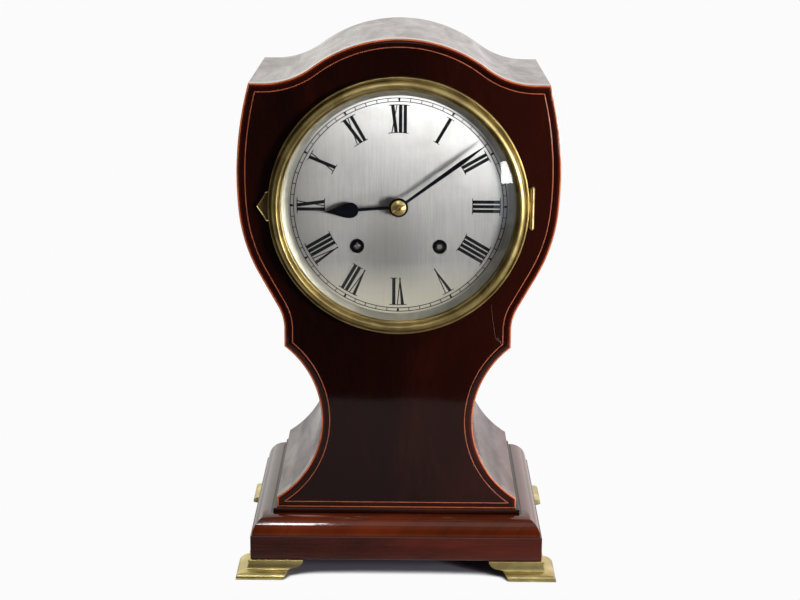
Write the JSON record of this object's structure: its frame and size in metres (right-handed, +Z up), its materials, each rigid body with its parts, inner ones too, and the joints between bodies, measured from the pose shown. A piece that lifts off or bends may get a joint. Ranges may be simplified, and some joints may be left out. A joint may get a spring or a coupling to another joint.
{
  "type": "balloon table clock",
  "caption": "Balloon-shaped mahogany table clock with inlaid lines, brass bracket feet, a hinged round glazed bezel, a silvered Roman dial and a striking movement.",
  "frame": {"origin": "centre of the footprint, on the table under the feet", "axes": "+Z up, +X to the right seen from the front, the dial faces -Y"},
  "size_m": [0.2096, 0.1748, 0.35],
  "materials": {
    "mahogany": "dark French-polished mahogany with a high gloss",
    "base_wood": "redder polished mahogany on the base",
    "crossband": "dark red crossbanded veneer, polished",
    "boxwood": "amber boxwood line under old polish",
    "aged_brass": "lacquered brass, aged to a warm gold",
    "silvered": "silvered brass, brushed upright",
    "black_wax": "black wax filled into the dial",
    "glass": "clear domed glass",
    "blued_steel": "steel blued almost black",
    "movement_brass": "polished brass",
    "steel": "polished steel",
    "gong_steel": "blued spring steel",
    "iron": "black cast iron"
  },
  "bodies": {
    "case": {"front_board": "mahogany", "crossbanding": "crossband", "edge_stringing": "boxwood", "inner_stringing": "boxwood", "left_side": "mahogany", "right_side": "mahogany", "top_panel": "mahogany", "back_board": "mahogany", "base_board": "mahogany", "base_moulding": "base_wood", "plinth": "base_wood", "foot_front_left": "aged_brass", "foot_front_right": "aged_brass", "foot_back_left": "aged_brass", "foot_back_right": "aged_brass", "foot_screws": "aged_brass", "door_hinge_plates": "aged_brass", "bezel_seat": "aged_brass", "dial_plate": "silvered", "dial_markings": "black_wax", "bezel_hinge_plate": "aged_brass", "front_plate": "movement_brass", "back_plate": "movement_brass", "pillars": "movement_brass", "movement_brackets": "steel", "movement_screws": "steel", "suspension_cock": "movement_brass", "gong": "gong_steel", "gong_block": "iron"},
    "bezel": {"bezel_ring": "aged_brass", "bezel_glass": "glass", "glass_retainer": "aged_brass", "bezel_tab": "aged_brass", "bezel_hinge_leaf": "aged_brass"},
    "door": {"back_door": "mahogany", "door_hinge_leaves": "aged_brass"},
    "door_catch": {"door_knob": "aged_brass"},
    "minute": {"minute_hand": "blued_steel", "cannon_pinion": "movement_brass"},
    "hour": {"hour_hand": "blued_steel", "hour_wheel": "movement_brass"},
    "minute_wheel_body": {"minute_wheel": "movement_brass"},
    "centre": {"centre_wheel": "movement_brass", "hand_collet": "aged_brass"},
    "going_barrel_body": {"going_barrel": "movement_brass"},
    "going_winder": {"going_winding_arbor": "steel"},
    "going_click_body": {"going_click": "steel"},
    "intermediate": {"intermediate_wheel": "movement_brass"},
    "third": {"third_wheel": "movement_brass"},
    "escape": {"escape_wheel": "movement_brass"},
    "pallet": {"pallets": "steel"},
    "pendulum_body": {"pendulum": "movement_brass"},
    "strike_barrel_body": {"strike_barrel": "movement_brass"},
    "strike_winder": {"strike_winding_arbor": "steel"},
    "strike_click_body": {"strike_click": "steel"},
    "hammer_wheel_body": {"hammer_wheel": "movement_brass"},
    "gathering": {"gathering_wheel": "movement_brass"},
    "warning": {"warning_wheel": "movement_brass"},
    "fly_body": {"fly": "movement_brass"},
    "hammer_body": {"hammer": "steel"}
  },
  "joints": [
    {"name": "bezel_hinge", "type": "hinge", "parent": "case", "child": "bezel", "pos_m": [0.0846, -0.06425, 0.2439], "axis": [0, 0, 1], "range_deg": [0, 105]},
    {"name": "door_hinge", "type": "hinge", "parent": "case", "child": "door", "pos_m": [0.0517, 0.07995, 0.239], "axis": [0, 0, -1], "range_deg": [0, 100]},
    {"name": "door_turn", "type": "hinge", "parent": "door", "child": "door_catch", "pos_m": [-0.042, 0.07835, 0.239], "axis": [0, -1, 0], "range_deg": [0, 90]},
    {"name": "minute_turn", "type": "hinge", "parent": "case", "child": "minute", "pos_m": [0, -0.05165, 0.2439], "axis": [0, 1, 0], "continuous": true},
    {"name": "hour_turn", "type": "hinge", "parent": "case", "child": "hour", "pos_m": [0, -0.05365, 0.2439], "axis": [0, 1, 0], "continuous": true},
    {"name": "minute_wheel_turn", "type": "hinge", "parent": "case", "child": "minute_wheel_body", "pos_m": [0, -0.04365, 0.2283], "axis": [0, 1, 0], "continuous": true},
    {"name": "escape_spin", "type": "hinge", "parent": "case", "child": "escape", "pos_m": [0, -0.02165, 0.2779], "axis": [0, 1, 0], "continuous": true},
    {"name": "third_spin", "type": "hinge", "parent": "case", "child": "third", "pos_m": [0.00576, -0.02165, 0.26212], "axis": [0, 1, 0], "continuous": true},
    {"name": "centre_spin", "type": "hinge", "parent": "case", "child": "centre", "pos_m": [0, -0.02165, 0.2439], "axis": [0, 1, 0], "continuous": true},
    {"name": "intermediate_spin", "type": "hinge", "parent": "case", "child": "intermediate", "pos_m": [0.01977, -0.02165, 0.24493], "axis": [0, 1, 0], "continuous": true},
    {"name": "going_barrel_turn", "type": "hinge", "parent": "case", "child": "going_barrel_body", "pos_m": [0.0263, -0.02165, 0.2177], "axis": [0, 1, 0], "continuous": true},
    {"name": "going_winding", "type": "hinge", "parent": "case", "child": "going_winder", "pos_m": [0.0263, -0.03165, 0.2177], "axis": [0, 1, 0], "continuous": true},
    {"name": "going_click_lift", "type": "hinge", "parent": "case", "child": "going_click_body", "pos_m": [0.0358, -0.04065, 0.2272], "axis": [0, 1, 0], "range_deg": [0, 10], "stiffness_Nm_per_rad": 0.002, "springref_deg": -11.46},
    {"name": "pallet_rock", "type": "hinge", "parent": "case", "child": "pallet", "pos_m": [0, -0.01165, 0.2939], "axis": [0, 1, 0], "range_deg": [-4, 4]},
    {"name": "pendulum_swing", "type": "hinge", "parent": "case", "child": "pendulum_body", "pos_m": [0, 0.00835, 0.2939], "axis": [0, 1, 0], "range_deg": [-4, 4]},
    {"name": "fly_spin", "type": "hinge", "parent": "case", "child": "fly_body", "pos_m": [-0.02979, -0.02165, 0.28123], "axis": [0, 1, 0], "continuous": true},
    {"name": "warning_spin", "type": "hinge", "parent": "case", "child": "warning", "pos_m": [-0.01795, -0.02165, 0.27761], "axis": [0, 1, 0], "continuous": true},
    {"name": "gathering_spin", "type": "hinge", "parent": "case", "child": "gathering", "pos_m": [-0.02411, -0.02165, 0.26311], "axis": [0, 1, 0], "continuous": true},
    {"name": "hammer_wheel_spin", "type": "hinge", "parent": "case", "child": "hammer_wheel_body", "pos_m": [-0.0302, -0.02165, 0.24543], "axis": [0, 1, 0], "continuous": true},
    {"name": "strike_barrel_turn", "type": "hinge", "parent": "case", "child": "strike_barrel_body", "pos_m": [-0.0263, -0.02165, 0.2177], "axis": [0, 1, 0], "continuous": true},
    {"name": "strike_winding", "type": "hinge", "parent": "case", "child": "strike_winder", "pos_m": [-0.0263, -0.03165, 0.2177], "axis": [0, 1, 0], "continuous": true},
    {"name": "strike_click_lift", "type": "hinge", "parent": "case", "child": "strike_click_body", "pos_m": [-0.0358, -0.04065, 0.2272], "axis": [0, -1, 0], "range_deg": [0, 10], "stiffness_Nm_per_rad": 0.002, "springref_deg": -11.46},
    {"name": "hammer_lift", "type": "hinge", "parent": "case", "child": "hammer_body", "pos_m": [-0.0466, -0.00165, 0.2351], "axis": [0, 1, 0], "range_deg": [0, 4], "stiffness_Nm_per_rad": 0.05, "springref_deg": -11.46}
  ],
  "couplings": [
    {"joint": "hour_turn", "follows": "minute_turn", "ratio": 0.083333},
    {"joint": "minute_wheel_turn", "follows": "minute_turn", "ratio": -0.33333},
    {"joint": "third_spin", "follows": "escape_spin", "ratio": -0.090909},
    {"joint": "centre_spin", "follows": "escape_spin", "ratio": 0.0075758},
    {"joint": "intermediate_spin", "follows": "escape_spin", "ratio": -0.0016835},
    {"joint": "going_barrel_turn", "follows": "escape_spin", "ratio": 0.00028058},
    {"joint": "pallet_rock", "follows": "pendulum_swing", "ratio": 1},
    {"joint": "warning_spin", "follows": "fly_spin", "ratio": -0.14583},
    {"joint": "gathering_spin", "follows": "fly_spin", "ratio": 0.018229},
    {"joint": "hammer_wheel_spin", "follows": "fly_spin", "ratio": -0.0024306},
    {"joint": "strike_barrel_turn", "follows": "fly_spin", "ratio": 0.00040509}
  ]
}
